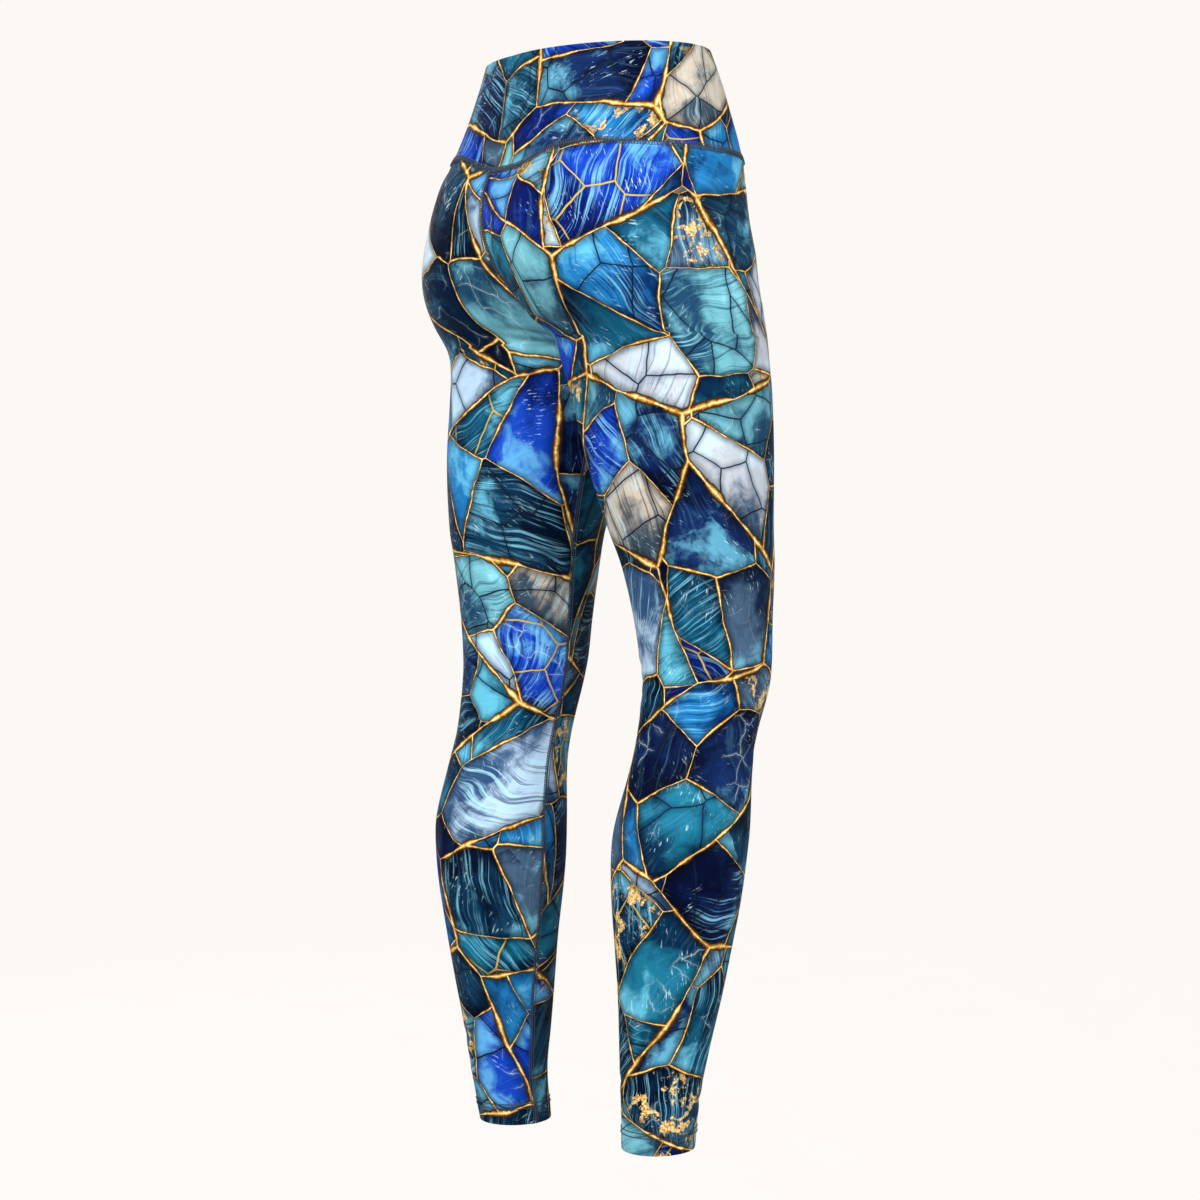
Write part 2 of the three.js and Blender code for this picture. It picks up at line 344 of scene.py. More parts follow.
def side_points(level, leg, columns):
    """Evenly spaced points of one side's outline at one level, and the outline's length."""
    s = {name: float(smooth_column(SECTIONS, SECTION_COLUMNS, name, level)) for name in SECTION_COLUMNS}
    stance = {name: float(smooth_column(STANCE, STANCE_COLUMNS, name, level)) for name in STANCE_COLUMNS}
    hip = {name: float(smooth_column(HIPS, HIP_COLUMNS, name, level)) for name in HIP_COLUMNS}
    valley = max(hip["valley"], 0)
    edge = math.hypot(SEAM_GAP / 2, valley)

    def end_angle(reach, square):
        """Where the outline ends: at the middle plane or, below the crotch, at the inside leg."""
        inward = min(1, (s["lobe"] - edge) / s["width"])
        at_middle = math.acos(inward ** (square / 2))
        at_inside_leg = math.asin((SEAM_GAP / 2 / reach) ** (square / 2))
        return math.pi - max(at_middle, at_inside_leg)

    first = -end_angle(s["front"], s["front_square"])
    last = end_angle(s["back"], s["back_square"])
    angle = np.linspace(first, last, ARC_STEPS + 1)
    reach = np.where(angle < 0, s["front"], s["back"])
    inner_square = np.where(angle < 0, s["front_square"], s["back_square"])
    square = np.where(np.cos(angle) < 0, inner_square, 2)
    lobe_x = s["lobe"] + s["width"] * signed_power(np.cos(angle), 2 / square)
    x = np.sqrt(np.maximum(lobe_x**2 - valley**2, (SEAM_GAP / 2) ** 2))
    share = smoothstep(0, STRIDE_FADE, x)
    share = share + (1 - share) * stance["whole"]
    side = 1 if leg == "left" else -1
    stride = stance["stride"] * side
    y = stance["centre"] + stride * share + reach * signed_power(np.sin(angle), 2 / square)
    arc = np.concatenate([[0], np.cumsum(np.hypot(np.diff(x), np.diff(y)))])

    # Below the crotch the points start and end at the inside leg seam, a little ahead of the innermost line
    ahead = smooth_column(SEAM_LINE, SEAM_COLUMNS, "ahead", level) if level < CROTCH_LEVEL else 0
    spaced = np.linspace(ahead, arc[-1] + ahead, columns + 1)
    spaced = np.where(spaced > arc[-1] + 1e-6, spaced - arc[-1], spaced)
    px, py = np.interp(spaced, arc, x), np.interp(spaced, arc, y)

    # The waist's slope and the hollow of the back move the points up and down
    from_dip = np.abs(side * px - DIP_CENTRE) / DIP_BREADTH
    sunk = hip["dip"] * np.exp(-(from_dip**3)) * (py > 0)
    return np.stack([px, py, level - hip["drop"] * py + hip["roll"] * side * px - sunk], axis=1), arc[-1]


def outward(grid, closed):
    """Unit directions out of a cloth grid whose rows run down and whose columns run to the back."""
    if closed:
        along = np.roll(grid, -1, axis=1) - np.roll(grid, 1, axis=1)
    else:
        along = np.gradient(grid, axis=1)
    normal = np.cross(np.gradient(grid, axis=0), along)
    return normal / np.linalg.norm(normal, axis=2, keepdims=True)


def leg_levels():
    """The levels of a leg's rows, from the waist seam down to the hem."""
    levels = [-WAISTBAND_HEIGHT - SEAM_GAP / 2]
    for to, steps in (*LEG_SPANS, (HEM_TOP, LAST_SPAN_STEPS)):
        levels += list(np.linspace(levels[-1], to, steps * ROWS_PER_STEP + 1)[1:])
    levels += list(np.linspace(HEM_TOP, HEM_LEVEL + HEM_CLOTH / 2, HEM_ROWS + 1)[1:])
    return np.array(levels)


def seat_fold_depth(level, around):
    """Depth of the fold under the seat."""
    along = (around - SEAT_FOLD["around"]) / SEAT_FOLD["reach"]
    across = (level - SEAT_FOLD["level"] + SEAT_FOLD["rise"] * along) / SEAT_FOLD["breadth"]
    return SEAT_FOLD["depth"] * bell(along, 1) * bell(across, 1)


def crease_depth(leg, level, around, length):
    """Depth of the soft creases, each a trough with a low ridge on both sides."""
    total = np.zeros_like(level + around)
    for row in CREASES:
        crease = dict(zip(CREASE_COLUMNS, row))
        if crease["leg"] not in ("both", leg):
            continue
        turn = math.radians(crease["turn"])
        side = (around - crease["around"]) * length
        up = level - crease["level"]
        along = (-side * math.cos(turn) + up * math.sin(turn)) / (crease["length"] / 2)
        bend = CREASE_SHAPE["bend"] * crease["length"] * along**2
        across = (side * math.sin(turn) + up * math.cos(turn) + bend) / crease["breadth"]
        taper = np.clip(1 - along**2, 0, 1) ** CREASE_SHAPE["fade"]
        ridges = bell(np.abs(across) - CREASE_SHAPE["ridge_place"], 1)
        total += crease["depth"] * taper * (bell(across, 1) - CREASE_SHAPE["ridge"] * ridges)
    return total


def leg_relief(leg, level, around, length, crease_share):
    """How far a leg's outer face stands out from its smooth form, in mm."""
    from_seam = (0.5 - np.abs(around - 0.5)) * length
    from_band = level[0, 0] - level
    from_hem = level - HEM_LEVEL
    over_seam = bell(from_seam, SEAM_RISE["breadth"]) + bell(from_band, SEAM_RISE["waist_breadth"])
    beside = sum(bell(far - SEAM_HOLLOW["place"], SEAM_HOLLOW["breadth"]) for far in (from_seam, from_band))
    pucker = np.sin(level * 0.9 + 2 * np.sin(level * 0.13)) * bell(from_seam, PUCKER["breadth"])
    gather = np.sin(around * length * 0.85 + 2 * np.sin(around * 21)) * bell(from_band, GATHER["breadth"])
    turned_up = 1 - smoothstep(HEM_DEPTH - 1, HEM_DEPTH + 1, from_hem)
    rows = sum(bell(from_hem - row, HEM_EDGE["row_breadth"]) for row in HEM_STITCH_ROWS)
    ripple = np.sin(around * length * 0.42 + 1.5 * np.sin(around * 17)) * (from_hem < HEM_RIPPLE["reach"])
    ripple = ripple * bell(from_hem - HEM_RIPPLE["place"], HEM_RIPPLE["breadth"])
    slack = np.sin(level / 31 + 3.1 * around) * np.sin(level / 47 + 9.3 * around + 1.7)
    at_seams = SEAM_RISE["height"] * over_seam - SEAM_HOLLOW["depth"] * beside
    waves = PUCKER["height"] * pucker + GATHER["height"] * gather + HEM_RIPPLE["height"] * ripple
    hem = HEM_EDGE["height"] * turned_up - HEM_EDGE["row_depth"] * rows
    creases = crease_share * crease_depth(leg, level, around, length) + seat_fold_depth(level, around)
    return at_seams + waves + hem + SLACK["leg"] * slack - creases


class Cloth:
    """The outer face of one piece of cloth as a grid, with its print's places, to build and to sew on."""

    def __init__(self, grid, levels, around, lengths, closed, thickness, start):
        self.grid, self.levels, self.around, self.lengths = grid, levels, around, lengths
        self.closed, self.thickness, self.start = closed, thickness, start
        self.normals = outward(grid, closed)
        self.flipped = False

    def at(self, level, around):
        """Points and outward directions at levels and shares of the way round."""
        order = np.argsort(self.levels)
        row = np.interp(np.asarray(level, float), self.levels[order], order.astype(float))
        column = np.interp(around, self.around, np.arange(len(self.around)))
        r, c = np.floor(row).astype(int), np.floor(column).astype(int)
        r2, c2 = np.minimum(r + 1, len(self.levels) - 1), np.minimum(c + 1, len(self.around) - 1)
        fr, fc = (row - r)[:, None], (column - c)[:, None]

        def between(values):
            wrapped = np.concatenate([values, values[:, :1]], axis=1) if self.closed else values
            top = wrapped[r, c] * (1 - fc) + wrapped[r, c2] * fc
            low = wrapped[r2, c] * (1 - fc) + wrapped[r2, c2] * fc
            return top * (1 - fr) + low * fr

        normal = between(self.normals)
        return between(self.grid), normal / np.linalg.norm(normal, axis=1, keepdims=True)

    def mirrored(self):
        """The same cloth on the wearer's other side."""
        other = copy.copy(self)
        other.grid = self.grid * MIRROR
        other.normals = self.normals * MIRROR
        other.flipped = not self.flipped
        return other


def leg_cloth(leg, crease_share):
    """One leg's cloth; the right leg is made on the left side and then mirrored."""
    levels = leg_levels()
    rows, lengths = zip(*(side_points(level, leg, LEG_COLUMNS) for level in levels))
    smooth = np.array(rows)
    around = np.linspace(0, 1, LEG_COLUMNS + 1)
    lengths = np.array(lengths)
    relief = leg_relief(leg, levels[:, None], around[None, :], lengths[:, None], crease_share)
    grid = smooth + outward(smooth, False) * relief[:, :, None]
    grid[:, :, 0] = np.maximum(grid[:, :, 0], SEAM_GAP / 3)
    thickness = LEG_CLOTH + (HEM_CLOTH - LEG_CLOTH) * (levels < HEM_TOP - 0.5)
    cloth = Cloth(grid, levels, around, lengths, False, thickness, PRINT_START[leg])
    return cloth if leg == "left" else cloth.mirrored()


def band_cloth():
    """The waistband's cloth, from its seam up to the fold along its top."""
    top, bottom = -BAND_CLOTH / 2, -WAISTBAND_HEIGHT + SEAM_GAP / 2
    levels = np.linspace(bottom, top, BAND_STEPS * ROWS_PER_STEP)
    half = BAND_COLUMNS // 2
    rows, lengths = [], []
    for level in levels:
        left, length = side_points(level, "left", half)
        left[[0, -1], 0] = 0
        right = side_points(level, "right", half)[0][1:-1][::-1] * MIRROR
        rows.append(np.concatenate([left, right])[::-1])
        lengths.append(2 * length)
    smooth, lengths = np.array(rows), np.array(lengths)
    around = np.linspace(0, 1, BAND_COLUMNS + 1)
    from_seam = (levels - bottom)[:, None]
    rise = SEAM_RISE["height"] * bell(from_seam, SEAM_RISE["waist_breadth"])
    hollow = SEAM_HOLLOW["depth"] * bell(from_seam - SEAM_HOLLOW["place"], SEAM_HOLLOW["breadth"])
    turn = around[None, :-1] * math.tau
    gather = np.sin(turn * 118 + 2 * np.sin(turn * 9)) * bell(from_seam, GATHER["breadth"])
    slack = np.sin(levels[:, None] / 14 + 3 * turn) * np.sin(2 * turn + levels[:, None] / 29 + 0.6)
    relief = rise - hollow + GATHER["height"] * gather + SLACK["band"] * slack
    grid = smooth + outward(smooth, True) * relief[:, :, None]
    thickness = np.full(len(levels), BAND_CLOTH)
    return Cloth(grid, levels, around, lengths, True, thickness, PRINT_START["band"])


def mesh_object(name, points, faces, materials, material_index=None, uv=None):
    """A smooth-shaded object from points in millimetres."""
    mesh = bpy.data.meshes.new(name)
    mesh.from_pydata((points * MM).tolist(), [], [list(map(int, face)) for face in faces])
    for material in materials:
        mesh.materials.append(material)
    if material_index is not None:
        mesh.polygons.foreach_set("material_index", material_index)
    mesh.polygons.foreach_set("use_smooth", [True] * len(mesh.polygons))
    if uv is not None:
        layer = mesh.uv_layers.new(name="cloth")
        layer.data.foreach_set("uv", np.asarray(uv, np.float32).ravel())
    mesh.update()
    obj = bpy.data.objects.new(name, mesh)
    bpy.context.scene.collection.objects.link(obj)
    return obj


def cloth_object(name, cloth, materials):
    """The cloth as a closed wall: its outer face, a rounded fold along its last row, and its inside."""
    rows, columns = cloth.grid.shape[:2]
    inner = cloth.grid - cloth.normals * cloth.thickness[:, None, None]
    radius = cloth.thickness[-1] / 2
    out_of_edge = cloth.grid[-1] - cloth.grid[-2]
    out_of_edge /= np.linalg.norm(out_of_edge, axis=1, keepdims=True)
    turns = np.linspace(0, math.pi, FOLD_STEPS)[1:-1]
    cap = [
        cloth.grid[-1] + cloth.normals[-1] * radius * (math.cos(t) - 1) + out_of_edge * radius * math.sin(t)
        for t in turns
    ]

    # Rows of points down the outside, round the fold and up the inside, and the print's row for each
    loops = np.concatenate([cloth.grid, np.array(cap), inner[::-1]])
    count = len(loops)
    shown = np.concatenate([np.arange(rows), np.full(len(cap), rows - 1), np.arange(rows)[::-1]])
    face_rows = np.arange(count)
    face_columns = np.arange(columns if cloth.closed else columns - 1)
    r, c = (values.ravel() for values in np.meshgrid(face_rows, face_columns, indexing="ij"))
    r2, c2 = (r + 1) % count, c + 1
    corners = [(r, c), (r2, c), (r2, c2), (r, c2)]
    faces = np.stack([row * columns + column % columns for row, column in corners], axis=1)

    # The print's place at each corner of each face, in metres over the flat cloth
    share = [column / (len(cloth.around) - 1) for _, column in corners]
    wide = [(part - 0.5) * cloth.lengths[shown[row]] for part, (row, _) in zip(share, corners)]
    high = [cloth.levels[shown[row]] for row, _ in corners]
    uv = np.stack([np.stack(wide, axis=1), np.stack(high, axis=1)], axis=2) * MM + np.array(cloth.start)
    inside = (r >= rows + len(cap) - 2).astype(int)

    # An open cloth's two side edges are closed between its outside and its inside
    if not cloth.closed:
        pairs = np.arange(count // 2 - 1)
        far = count - 1 - pairs
        last = columns - 1
        first_end = np.stack([pairs, far, far - 1, pairs + 1], axis=1) * columns
        last_end = np.stack([pairs, pairs + 1, far - 1, far], axis=1) * columns + last
        faces = np.concatenate([faces, first_end, last_end])
        uv = np.concatenate([uv, np.tile(np.array(cloth.start), (2 * len(pairs), 4, 1))])
        inside = np.concatenate([inside, np.ones(2 * len(pairs), int)])
    if cloth.flipped:
        faces, uv = faces[:, ::-1], uv[:, ::-1]
    return mesh_object(name, loops.reshape(-1, 3), faces, materials, inside, uv)


def swept(points, sides, ups, half_width, half_height, around=8):
    """A closed tube with an oval section along points; the sizes may differ from point to point."""
    points = np.asarray(points, float)
    count = len(points)
    turn = np.linspace(0, math.tau, around, endpoint=False)
    wide = np.broadcast_to(half_width, count)[:, None, None] * np.cos(turn)[None, :, None]
    high = np.broadcast_to(half_height, count)[:, None, None] * np.sin(turn)[None, :, None]
    ring = points[:, None, :] + sides[:, None, :] * wide + ups[:, None, :] * high
    i, j = (v.ravel() for v in np.meshgrid(np.arange(count - 1), np.arange(around), indexing="ij"))
    j2 = (j + 1) % around
    faces = [list(f) for f in np.stack([i, i + 1, i + 1, i], 1) * around + np.stack([j, j, j2, j2], 1)]
    faces.append(list(range(around)))
    faces.append([(count - 1) * around + k for k in reversed(range(around))])
    return ring.reshape(-1, 3), faces


def joined(parts):
    """Points and faces of many small shapes as one."""
    points, faces, start = [], [], 0
    for part_points, part_faces in parts:
        points.append(part_points)
        faces += [[start + i for i in face] for face in part_faces]
        start += len(part_points)
    return np.concatenate(points), faces


class SeamPath:
    """A line on the cloth, walked by its length, with the directions across it and out of it."""

    def __init__(self, points, ups):
        step = np.linalg.norm(np.diff(points, axis=0), axis=1)
        self.arc = np.concatenate([[0], np.cumsum(step)])
        self.points, self.ups = points, ups
        self.length = self.arc[-1]

    def read(self, values, distance):
        return np.stack([np.interp(distance, self.arc, values[:, k]) for k in range(3)], axis=-1)

    def at(self, distance):
        """Points, directions across and out of the cloth, and directions ahead, at distances along it."""
        distance = np.clip(distance, 0, self.length)
        ups, ahead = self.read(self.ups, distance), self.ahead(distance)
        side = np.cross(ahead, ups)
        side /= np.linalg.norm(side, axis=-1, keepdims=True)
        return self.read(self.points, distance), side, np.cross(side, ahead), ahead

    def ahead(self, distance):
        """The direction in which the path runs, taken over a millimetre."""
        low, high = (self.read(self.points, np.clip(distance + step, 0, self.length)) for step in (-0.5, 0.5))
        return (high - low) / np.maximum(np.linalg.norm(high - low, axis=-1, keepdims=True), 1e-6)


def stitch_row(path, offset, pitch, share, thread, lift):
    """Separate stitches along a path, each a short bowed thread that dips into the cloth at both ends."""
    parts = []
    along, bow, size = np.array(STITCH_FORM).T
    for middle in np.arange(pitch / 2, path.length - pitch / 3, pitch):
        points, side, ups, _ = path.at(middle + along * pitch * share / 2)
        points = points + side * offset + ups * (lift + bow[:, None] * thread / 2)
        parts.append(swept(points, side, ups, size * thread / 2, size * thread / 2, 6))
    return parts


def zigzag_row(path, width, pitch, thread, lift, arch=0.3):
    """One thread that crosses from side to side of a seam and back."""
    corners = np.arange(0, path.length, pitch / 4)
    swing = np.array([0, 1, 0, -1])[np.arange(len(corners)) % 4] * 0.5 * width
    points, side, ups, ahead = path.at(corners)
    raised = arch * (1 - np.abs(swing) / (0.5 * width))
    points = points + side * swing[:, None] + ups * (lift + raised[:, None] * thread)
    return [swept(points, ahead, ups, thread / 2, thread / 2, 5)]


def seam_bed(path, width, height, lift, step=2.0):
    """The flat bed of looper threads that covers a seam's join."""
    stations = np.linspace(0, path.length, max(2, int(path.length / step)))
    points, side, ups, _ = path.at(stations)
    taper = np.minimum(1, np.minimum(stations, path.length - stations) / 2 + 0.4)
    return [swept(points + ups * lift, side, ups, taper * width / 2, taper * height / 2, 10)]


def add(tree, kind, inputs=None, **settings):
    """A node with its settings made and its inputs linked or set."""
    node = tree.nodes.new(kind)
    for name, value in settings.items():
        setattr(node, name, value)
    for name, value in (inputs or {}).items():
        if isinstance(value, bpy.types.NodeSocket):
            tree.links.new(value, node.inputs[name])
        else:
            node.inputs[name].default_value = value
    return node


def maths(tree, operation, *values):
    """A sum or the like of numbers, linked or set."""
    return add(tree, "ShaderNodeMath", dict(enumerate(values)), operation=operation).outputs[0]


def vectors(tree, operation, inputs):
    """A sum or the like of places."""
    return add(tree, "ShaderNodeVectorMath", inputs, operation=operation).outputs[0]


def ramped(tree, value, low, high, to_low=0.0, to_high=1.0):
    """A value carried smoothly from one range to another."""
    inputs = {"Value": value, "From Min": low, "From Max": high, "To Min": to_low, "To Max": to_high}
    return add(tree, "ShaderNodeMapRange", inputs, interpolation_type="SMOOTHSTEP").outputs["Result"]


def mixed(tree, share, a, b, blend="MIX"):
    """One colour laid over another, or multiplied or screened with it."""
    inputs = {0: share, 6: a, 7: b}
    node = add(tree, "ShaderNodeMix", inputs, data_type="RGBA", blend_type=blend, clamp_factor=True)
    return node.outputs[2]


def noise(tree, place, scale, detail=3.0, roughness=0.55, output="Fac"):
    """Soft noise over the flat cloth."""
    inputs = {"Vector": place, "Scale": scale, "Detail": detail, "Roughness": roughness}
    return add(tree, "ShaderNodeTexNoise", inputs, noise_dimensions="2D").outputs[output]


def stones(tree, place, scale, feature="F1", smoothness=0.0):
    """Cells of broken stone, by their distance or their edges."""
    inputs = {"Vector": place, "Scale": scale}
    if feature == "SMOOTH_F1":
        inputs["Smoothness"] = smoothness
    return add(tree, "ShaderNodeTexVoronoi", inputs, voronoi_dimensions="2D", feature=feature)


def new_group(name, inputs, outputs):
    """An empty shader node group, with its sockets made."""
    tree = bpy.data.node_groups.new(name, "ShaderNodeTree")
    for label, kind, default in inputs:
        socket = tree.interface.new_socket(label, in_out="INPUT", socket_type=kind)
        if default is not None:
            socket.default_value = default
    for label, kind in outputs:
        tree.interface.new_socket(label, in_out="OUTPUT", socket_type=kind)
    return tree, tree.nodes.new("NodeGroupInput").outputs, tree.nodes.new("NodeGroupOutput").inputs


def shifted(tree, place, x, y):
    """A place moved, so that one noise differs from the next."""
    return vectors(tree, "ADD", {0: place, 1: (x, y, 0)})


def warped(tree, place, scale, reach):
    """A place pushed about by a soft noise, by at most about `reach` metres."""
    push = noise(tree, place, scale, 2.0, 0.5, "Color")
    centred = vectors(tree, "SUBTRACT", {0: push, 1: (0.5, 0.5, 0.5)})
    sized = vectors(tree, "SCALE", {0: centred, "Scale": reach * 2})
    return vectors(tree, "ADD", {0: place, 1: sized})


def cell_picks(tree, cells):
    """Three random numbers for each cell."""
    return add(tree, "ShaderNodeSeparateColor", {"Color": cells.outputs["Color"]}).outputs


def apart(tree, place, cells, reach=9.0):
    """A place moved by a random step for each cell, so that what follows is cut off at its edges."""
    step = vectors(tree, "SCALE", {0: cells.outputs["Color"], "Scale": reach})
    return vectors(tree, "ADD", {0: place, 1: step})


def grey(tree, value):
    """A grey colour from a value."""
    return add(tree, "ShaderNodeCombineColor", {"Red": value, "Green": value, "Blue": value}).outputs[0]


def turned(tree, place, angle, scale):
    """A place turned by an angle and then stretched."""
    spun = add(tree, "ShaderNodeVectorRotate", {"Vector": place, "Angle": angle}, rotation_type="Z_AXIS")
    return add(tree, "ShaderNodeMapping", {"Vector": spun.outputs[0], "Scale": (*scale, 1.0)}).outputs[0]


def edge_distance(tree, place, scale):
    """Distance to the nearest edge between cells, in metres."""
    distance = stones(tree, place, scale, "DISTANCE_TO_EDGE").outputs["Distance"]
    return maths(tree, "DIVIDE", distance, scale)


def times(tree, *values):
    """The product of two or more values."""
    product = values[0]
    for value in values[1:]:
        product = maths(tree, "MULTIPLY", product, value)
    return product


def stone_colour(tree, choice, colours):
    """One of the stones' colours, each with its share."""
    palette = add(tree, "ShaderNodeValToRGB", {"Fac": choice})
    ramp = palette.color_ramp
    ramp.interpolation = "CONSTANT"
    start = 0.0
    for i, (name, share) in enumerate(STONE_SHARES):
        stop = ramp.elements[i] if i < 2 else ramp.elements.new(start)
        stop.position = start
        stop.color = (*getattr(colours, name), 1)
        start += share
    return palette.outputs["Color"]


def stone_cells(tree, given):
    """Large stones cut into small ones and those into facets, with random numbers for each, and a grain."""
    cloth = given["Cloth"]
    bent = warped(tree, warped(tree, cloth, 7, 0.012), 38, 0.0020)
    large_scale, small_scale = given["Large stones per metre"], given["Small stones per metre"]
    large = stones(tree, bent, large_scale)
    small_place = apart(tree, bent, large)
    small = stones(tree, small_place, small_scale)
    facet_place = apart(tree, small_place, small)
    facet = stones(tree, facet_place, given["Facets per metre"])
    pick = cell_picks(tree, small)
    return SimpleNamespace(
        cloth=cloth, bent=bent, small_place=small_place, facet_place=facet_place, large=large, small=small,
        large_scale=large_scale, small_scale=small_scale, facet_scale=given["Facets per metre"], pick=pick,
        large_pick=cell_picks(tree, large), facet_pick=cell_picks(tree, facet),
        turn=maths(tree, "MULTIPLY", pick["Green"], math.tau),
        grain=noise(tree, shifted(tree, cloth, 2, 7), 420, 4.0, 0.62),
    )


def clouded(tree, cells, stone, deep, bright):
    """Each stone runs from dark to light one way, clouded like water colour."""
    local = vectors(tree, "SUBTRACT", {0: cells.small_place, 1: cells.small.outputs["Position"]})
    slope = add(tree, "ShaderNodeSeparateXYZ", {"Vector": turned(tree, local, cells.turn, (1.0, 1.0))})
    run = maths(tree, "MULTIPLY", slope.outputs["X"], cells.small_scale)
    cloud = noise(tree, warped(tree, cells.cloth, 26, 0.012), 30, 6.0, 0.6)
    tone = maths(tree, "ADD", run, maths(tree, "MULTIPLY", maths(tree, "SUBTRACT", cloud, 0.5), 1.9))
    tone = maths(tree, "ADD", tone, maths(tree, "MULTIPLY", cells.facet_pick["Red"], 0.34))
    body = mixed(tree, ramped(tree, tone, -0.40, 0.28), deep, stone)
    return mixed(tree, ramped(tree, tone, 0.34, 0.84), body, bright)


def brushed(tree, cells, body, deep, light):
    """Brush strokes that run another way in each stone, strong in some of them."""
    swayed = warped(tree, cells.cloth, 10, 0.022)
    fine = noise(tree, turned(tree, swayed, cells.turn, (11.0, 420.0)), 1.0, 5.0, 0.70)
    bold = noise(tree, turned(tree, swayed, cells.turn, (5.0, 120.0)), 1.0, 4.0, 0.62)
    stroke = maths(tree, "ADD", maths(tree, "MULTIPLY", fine, 0.66), maths(tree, "MULTIPLY", bold, 0.34))
    strength = ramped(tree, cells.pick["Blue"], 0.44, 0.60, 0.10, 0.95)
    broad = ramped(tree, noise(tree, swayed, 20, 2.0), 0.32, 0.56)
    lit = times(tree, ramped(tree, stroke, 0.515, 0.62), strength, broad, 0.80)
    dark = times(tree, ramped(tree, stroke, 0.48, 0.38), strength, 0.80)
    return mixed(tree, dark, mixed(tree, lit, body, light), deep)


def marked(tree, cells, body, paint):
    """Short scratches, and pale veins like marble's in some stones."""
    cloth = cells.cloth
    scratch_turn = maths(tree, "ADD", cells.turn, 0.6)
    scratched = noise(tree, turned(tree, cloth, scratch_turn, (90.0, 620.0)), 1.0, 3.0, 0.6)
    scratch_patch = ramped(tree, noise(tree, shifted(tree, cloth, 9, 3), 26, 2.0), 0.50, 0.66)
    scratch = times(tree, ramped(tree, scratched, 0.63, 0.72), scratch_patch, 0.75)
    line = edge_distance(tree, warped(tree, shifted(tree, cloth, 4.4, 2.8), 60, 0.006), 44.0)
    vein = maths(tree, "ADD", ramped(tree, line, 0.0005, 0.0), ramped(tree, line, 0.003, 0.0, 0.0, 0.14))
    in_stone = ramped(tree, cells.large_pick["Blue"], 0.50, 0.62)
    marble_patch = ramped(tree, noise(tree, shifted(tree, cloth, 5, 8), 24, 3.0), 0.48, 0.64)
    marble = times(tree, vein, in_stone, marble_patch, 0.42)
    return mixed(tree, marble, mixed(tree, scratch, body, paint["scratch"]), paint["marble"])


def cracked(tree, cells, body, deep, paint):
    """Facets divided by thin cracks, dark in most stones and gold in the others."""
    line = edge_distance(tree, cells.facet_place, cells.facet_scale)
    in_stone = ramped(tree, cells.pick["Green"], 0.40, 0.44)
    crack = times(tree, ramped(tree, line, 0.0009, 0.0004), in_stone, 0.95)
    beside = times(tree, ramped(tree, line, 0.0060, 0.0), in_stone, 0.45)
    golden = ramped(tree, cells.pick["Blue"], 0.74, 0.76)
    colour = mixed(tree, golden, paint["dark_crack"], paint["gold_crack"])
    return mixed(tree, crack, mixed(tree, beside, body, deep), colour)


def gilded(tree, cells, body, given):
    """Broken gold leaf in a few stones."""
    patches = noise(tree, warped(tree, cells.cloth, 34, 0.010), 62, 8.0, 0.70)
    in_stone = ramped(tree, cells.pick["Blue"], 0.86, 0.87)
    leaf = times(tree, ramped(tree, patches, 0.545, 0.575), in_stone, 0.92)
    shade = ramped(tree, cells.grain, 0.36, 0.66)
    return mixed(tree, leaf, body, mixed(tree, shade, given["Gold"], given["Light gold"]))


def veined(tree, cells, body, given):
    """Gold veins: thick between the large stones, swelling where three meet, and fine between the small."""
    soft = stones(tree, cells.bent, cells.large_scale, "SMOOTH_F1", 0.34).outputs["Distance"]
    meeting = ramped(tree, maths(tree, "SUBTRACT", cells.large.outputs["Distance"], soft), 0.092, 0.128)
    swell = ramped(tree, noise(tree, shifted(tree, cells.cloth, 6, 1), 27, 4.0), 0.34, 0.70, 0.42, 2.1)
    thickened = maths(tree, "ADD", 1.0, maths(tree, "MULTIPLY", meeting, 3.4))
    wide = times(tree, given["Vein width"], swell, thickened)
    thin = maths(tree, "MULTIPLY", wide, 0.44)
    large_edge = edge_distance(tree, cells.bent, cells.large_scale)
    small_edge = edge_distance(tree, cells.small_place, cells.small_scale)
    across_large = maths(tree, "DIVIDE", large_edge, wide)
    across = maths(tree, "MINIMUM", across_large, maths(tree, "DIVIDE", small_edge, thin))

    # The stones darken towards the veins
    nearest = maths(tree, "MINIMUM", large_edge, maths(tree, "MULTIPLY", small_edge, 1.6))
    body = mixed(tree, 1.0, body, grey(tree, ramped(tree, nearest, 0.0, 0.012, 0.30, 1.0)), "MULTIPLY")
    body = mixed(tree, ramped(tree, across, 1.95, 1.2), body, given["Gold edge"])

    # The veins shine along their middle and darken towards their sides, unevenly
    sheen = noise(tree, warped(tree, cells.cloth, 70, 0.004), 120, 4.0, 0.66)
    rounded = maths(tree, "ADD", across, maths(tree, "MULTIPLY", maths(tree, "SUBTRACT", 1.0, sheen), 1.9))
    rounded = maths(tree, "ADD", rounded, maths(tree, "MULTIPLY", cells.grain, 0.35))
    vein = mixed(tree, ramped(tree, rounded, 1.62, 0.98), given["Gold"], given["Light gold"])
    vein = mixed(tree, ramped(tree, rounded, 1.50, 2.15, 0.0, 0.9), vein, given["Gold edge"])
    gold_mask = ramped(tree, across, 1.15, 0.85)
    return mixed(tree, gold_mask, body, vein), gold_mask


